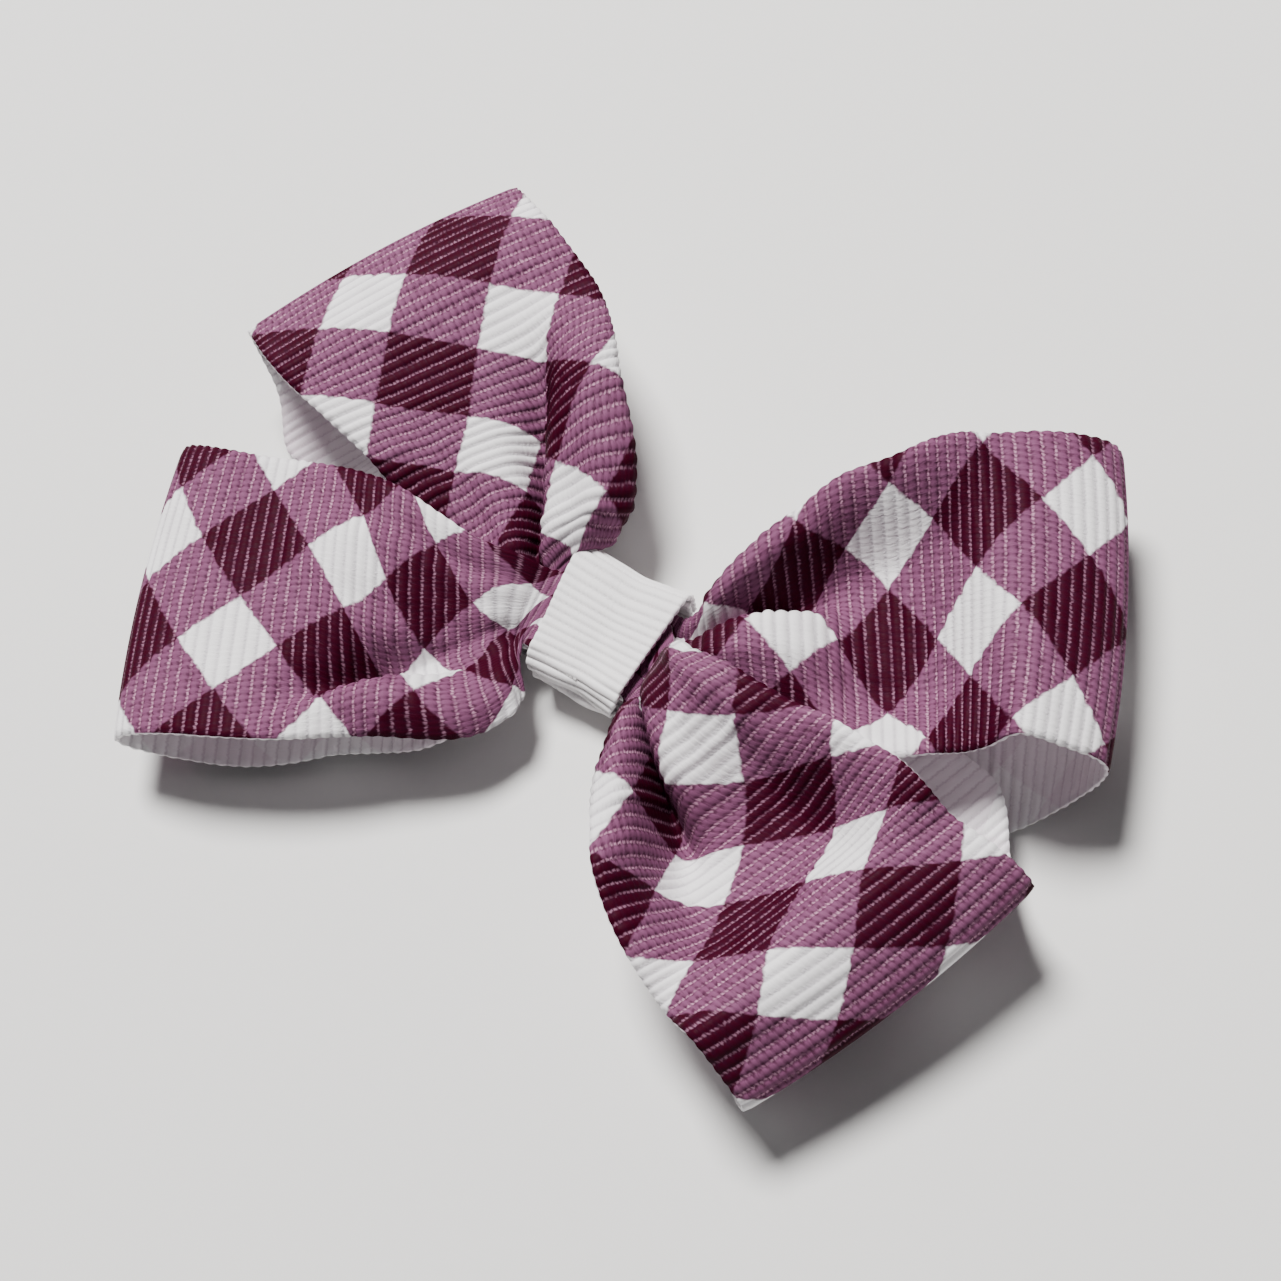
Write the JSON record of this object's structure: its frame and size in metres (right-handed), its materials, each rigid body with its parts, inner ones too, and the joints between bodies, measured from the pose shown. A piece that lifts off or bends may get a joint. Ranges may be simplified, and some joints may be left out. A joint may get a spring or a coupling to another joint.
{
  "type": "hair bow",
  "caption": "Hair bow of checked ribbon with puffed open loops, gathered by a plain band and fixed to a lined spring clip with a toothed jaw.",
  "frame": {"origin": "underside of the clip's lower arm, directly below the middle of the band", "axes": "+X along the bow and towards the clip's tail, +Y towards the upper pair of loops, +Z away from the clip"},
  "size_m": [0.0771, 0.0553, 0.0133],
  "materials": {
    "printed_ribbon": "ribbed grosgrain printed with a diagonal white, mauve and burgundy check, white inside",
    "white_ribbon": "fine ribbed white grosgrain",
    "thread": "white sewing thread",
    "glue": "cloudy hot-melt glue",
    "lining": "white ribbon glued on the clip",
    "clip_steel": "nickel-plated pressed steel",
    "pin_steel": "nickel-plated rivet",
    "spring_steel": "bright spring wire"
  },
  "bodies": {
    "bow": {"upper_ribbon": "printed_ribbon", "lower_ribbon": "printed_ribbon", "gathering_thread": "thread", "center_wrap": "white_ribbon", "wrap_glue": "glue", "clip_glue_pad": "glue", "clip_lining": "lining", "clip_upper_arm": "clip_steel", "pivot_pin": "pin_steel", "clip_spring": "spring_steel"},
    "lower_jaw": {"clip_lower_arm": "clip_steel"}
  },
  "joints": [
    {"name": "clip_hinge", "type": "hinge", "parent": "bow", "child": "lower_jaw", "pos_m": [0.0085, 0, 0.0015], "axis": [0, -1, 0], "range_deg": [0, 22], "stiffness_Nm_per_rad": 0.002, "springref_deg": -85.94, "deforming": ["clip_spring"]}
  ]
}
